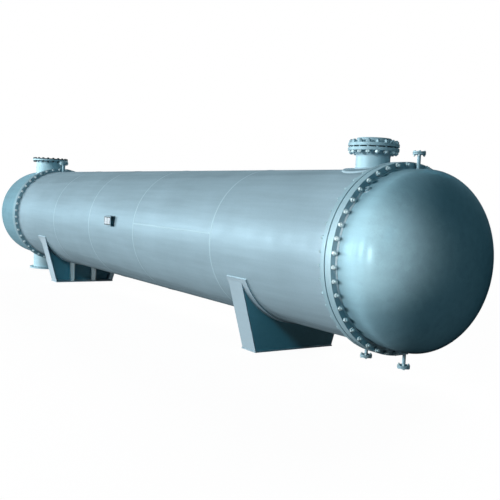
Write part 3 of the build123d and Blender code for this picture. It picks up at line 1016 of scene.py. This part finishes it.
def saddle(end, outboard):
    """One saddle; its web is on the side that outboard gives, and its ribs reach inboard."""
    web_low, web_high = x_range(f"{end}_saddle_web")
    rib_low, rib_high = x_range(f"{end}_saddle_ribs")
    base_low, base_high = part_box(f"{end}_saddle_base")
    foot = base_high.z
    foot_half = base_high.y - BASE_LIP
    thickness = np.array([PLATE, 0.0])
    inner_foot = np.array([foot_half, foot - AXIS]) - thickness
    foot_y = inner_foot[0]
    top_level = HORN[1] - WEB_COPE
    share = (top_level - inner_foot[1]) / (HORN[1] - inner_foot[1])
    edge_y = foot_y + share * (HORN[0] - foot_half)
    top_y = math.sqrt(SEAT ** 2 - top_level ** 2)
    web = [(-foot_y, foot), (foot_y, foot), (edge_y, AXIS + top_level),
           *arc_points(top_y, -top_y, 64), (-edge_y, AXIS + top_level)]
    # The web is painted darker than the side plates: painted shade under the shell.
    piece(f"{end}_saddle_web_plate", plates_across([web], web_low, web_high), shaded_web_paint,
          [f"{end}_saddle_web"])

    crossing_y = seat_crossing(inner_foot, HORN - thickness)[0]
    side_plate = [(foot_half, foot), *arc_points(HORN[0], crossing_y, 8), (foot_y, foot)]
    piece(f"{end}_saddle_side_plates", plates_across(both_sides(side_plate), rib_low, rib_high),
          saddle_paint, [f"{end}_saddle_ribs"])
    near, far = INNER_RIB_Y - PLATE / 2, INNER_RIB_Y + PLATE / 2
    rib = [(near, foot), (far, foot), *arc_points(far, near, 2)]
    rib_ends = (rib_low, web_low) if outboard > 0 else (web_high, rib_high)
    # The inner ribs are painted lighter than the side plates: painted light on their faces.
    piece(f"{end}_saddle_inner_ribs", plates_across(both_sides(rib), *rib_ends), lit_rib_paint)

    base = rectangle(base_low.x, base_high.x, base_low.y, base_high.y)
    slot_half = ANCHOR_SLOT_HALF if outboard < 0 else 0.0
    hole_x = (rib_low + rib_high - outboard * PLATE) / 2
    holes = [anchor_hole(hole_x, sign * ANCHOR_Y, slot_half, foot) for sign in (-1, 1)]
    piece(f"{end}_saddle_base_plate", prism(base, lambda x, y, depth: (x, y, depth), foot),
          saddle_paint, [f"{end}_saddle_base"], [merge(holes)])

    welds = saddle_pad(end) + web_welds(web_low, web_high, top_y, foot_y, foot)
    piece(f"{end}_saddle_welds", merge(welds), weld_highlight_paint)


# Camera, floor and light

CAMERA_YAW, CAMERA_PITCH, CAMERA_ROLL = 0.5952, 0.0687, 0.0496
CAMERA_LENS = 53.06
CAMERA_PLACE = (4.7235, -4.9000, 0.4758)
FLOOR_HALF = 60.0
FLOOR_GREY = 0.05
FLOOR_GLOW = 0.97
WORLD_LIGHT = (0.002, 0.006, 0.008, 1)
SPOT_DISTANCE = 5.0
SPOT_SIZE = 0.4
PLAIN_WHITE = (1.0, 1.0, 1.0)
COOL = (0.25, 0.80, 1.0)
WARM = (1.0, 0.82, 0.75)


def camera():
    """The photograph's viewpoint, counted from the return body flange and the axis."""
    yaw, pitch, roll = CAMERA_YAW, CAMERA_PITCH, CAMERA_ROLL
    forward = Vector((-math.cos(pitch) * math.cos(yaw), math.cos(pitch) * math.sin(yaw),
                      -math.sin(pitch)))
    level = forward.cross(Vector((0, 0, 1))).normalized()
    upward = level.cross(forward)
    right = math.cos(roll) * level + math.sin(roll) * upward
    up = -math.sin(roll) * level + math.cos(roll) * upward
    data = bpy.data.cameras.new("camera")
    data.sensor_width = 36.0
    data.lens = CAMERA_LENS
    data.clip_end = 200.0
    obj = add("camera", data)
    place = Vector(CAMERA_PLACE) + Vector((x_range("return_girth_flange")[1], 0, AXIS))
    rows = [(right[i], up[i], -forward[i], place[i]) for i in range(3)]
    obj.matrix_world = Matrix(rows + [(0, 0, 0, 1)])
    bpy.context.scene.camera = obj


def seen_directly(tree):
    """1 for camera, glossy and transmission rays, 0 for the bounced light."""
    path = linked(tree, "ShaderNodeLightPath").outputs
    seen = maths(tree, "MAXIMUM", path["Is Camera Ray"], path["Is Glossy Ray"])
    return maths(tree, "MAXIMUM", seen, path["Is Transmission Ray"])


def floor():
    data = bpy.data.meshes.new("floor")
    corners = rectangle(-FLOOR_HALF, FLOOR_HALF, -FLOOR_HALF, FLOOR_HALF)
    data.from_pydata([(x, y, 0) for x, y in corners], [], [(0, 1, 2, 3)])
    obj = add("floor", data)
    material, tree, shader = node_tree("floor")
    shader.inputs["Base Color"].default_value = (FLOOR_GREY, FLOOR_GREY, FLOOR_GREY, 1)
    shader.inputs["Roughness"].default_value = 0.9
    shader.inputs["Specular IOR Level"].default_value = 0.0
    shader.inputs["Emission Color"].default_value = (1, 1, 1, 1)
    glow = maths(tree, "MULTIPLY", seen_directly(tree), FLOOR_GLOW)
    tree.links.new(glow, shader.inputs["Emission Strength"])
    data.materials.append(material)


def world():
    """White where it is seen, and nearly dark as a light."""
    data = bpy.data.worlds.new("world")
    bpy.context.scene.world = data
    data.use_nodes = True
    tree = data.node_tree
    mix = linked(tree, "ShaderNodeMix", {"Factor": seen_directly(tree), "A": WORLD_LIGHT,
                                         "B": (1, 1, 1, 1)}, data_type="RGBA")
    tree.links.new(mix.outputs["Result"], tree.nodes["Background"].inputs["Color"])


def pointing(azimuth, elevation):
    """Unit vector; azimuth counts from -Y towards +X, both in degrees."""
    a, e = math.radians(azimuth), math.radians(elevation)
    return Vector((math.sin(a) * math.cos(e), -math.cos(a) * math.cos(e), math.sin(e)))


def lamp(name, kind, power, colour, source):
    """Adds a lamp that shines from the direction of source."""
    data = bpy.data.lights.new(name, kind)
    data.energy = power
    data.color = colour
    obj = add(name, data)
    obj.rotation_mode = "QUATERNION"
    obj.rotation_quaternion = source.to_track_quat("Z", "Y")
    return obj


# Soft distant lamps: name, azimuth, elevation, strength, softness in degrees, colour
LAMPS = (
    ("front", -13, 10, 2.6, 14, PLAIN_WHITE),
    ("left", -56, 5, 2.3, 18, PLAIN_WHITE),
    ("right", 60, 23, 0.32, 6, COOL),
    ("back", -150, 35, 1.8, 25, PLAIN_WHITE),
)


def lamps():
    for name, azimuth, elevation, strength, softness, colour in LAMPS:
        obj = lamp(name, "SUN", strength, colour, pointing(azimuth, elevation))
        obj.data.angle = math.radians(softness)


def on_head(azimuth, elevation):
    """A point of the return head's outside, counted on its ellipse."""
    out = pointing(azimuth, elevation)
    start = x_range("return_barrel")[1]
    depth = x_range("return_head")[1] - start
    return Vector((start + out.x * depth, out.y * R, AXIS + out.z * R))


def web_foot():
    """A point low in the middle of the channel saddle's web."""
    point = middle("channel_saddle_web")
    point.z /= 2
    return point


# Soft pools of light: name, target, azimuth, elevation, radius of the pool, power, colour
SPOTS = (
    ("head", on_head(38, 6), -16, 4, 0.50, 250.0, WARM),
    ("gleam", on_head(19, 8), 23, 5, 0.25, 6500.0, WARM),
    ("inlet", Vector((shell_inlet_x, -shell_inlet_r, middle("shell_inlet_neck").z)),
     10, 8, 0.26, 1000.0, PLAIN_WHITE),
    ("channel", Vector((channel_x, -channel_r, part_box("channel_inlet_flange")[0].z)),
     0, 26, 0.5, 1100.0, PLAIN_WHITE),
    ("outlet", Vector((channel_x, -channel_r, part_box("channel_outlet_flange")[1].z)),
     -10, 2, 0.35, 1000.0, PLAIN_WHITE),
    ("ribs", web_foot(), 26, 3, 0.45, 550.0, PLAIN_WHITE),
    ("joint", Vector((x_range("channel_tubesheet")[1], -R, AXIS)),
     42, 4, 0.95, 180.0, PLAIN_WHITE),
)


def spots():
    for name, target, azimuth, elevation, radius, power, colour in SPOTS:
        source = pointing(azimuth, elevation)
        obj = lamp(name, "SPOT", power, colour, source)
        obj.location = target + source * SPOT_DISTANCE
        obj.data.spot_size = 2 * math.atan(radius / SPOT_DISTANCE)
        obj.data.spot_blend = 1.0
        obj.data.shadow_soft_size = SPOT_SIZE


def node_material(node):
    """Material of a node that comes with the frame."""
    if "gasket" in node:
        return fibre
    if node in ("pass_partition", "impingement_plate"):
        return inner_steel
    if node == "nameplate":
        return brushed
    if "saddle" in node:
        return saddle_paint
    return shell_paint if node == "nameplate_bracket" else flange_paint


shell()
barrels()
for end, facing in ENDS:
    head(end, facing)
for end, facing in ENDS:
    girth_joint(end, facing)
shell_inlet()
channel_nozzles()
vents_and_drains()
nameplate_panel()
for end, facing in ENDS:
    saddle(end, facing)
seams()

for node, obj in frame["nodes"].items():
    obj.data.materials.clear()
    obj.data.materials.append(node_material(node))

bpy.context.scene.view_settings.view_transform = "Standard"
camera()
floor()
world()
lamps()
spots()
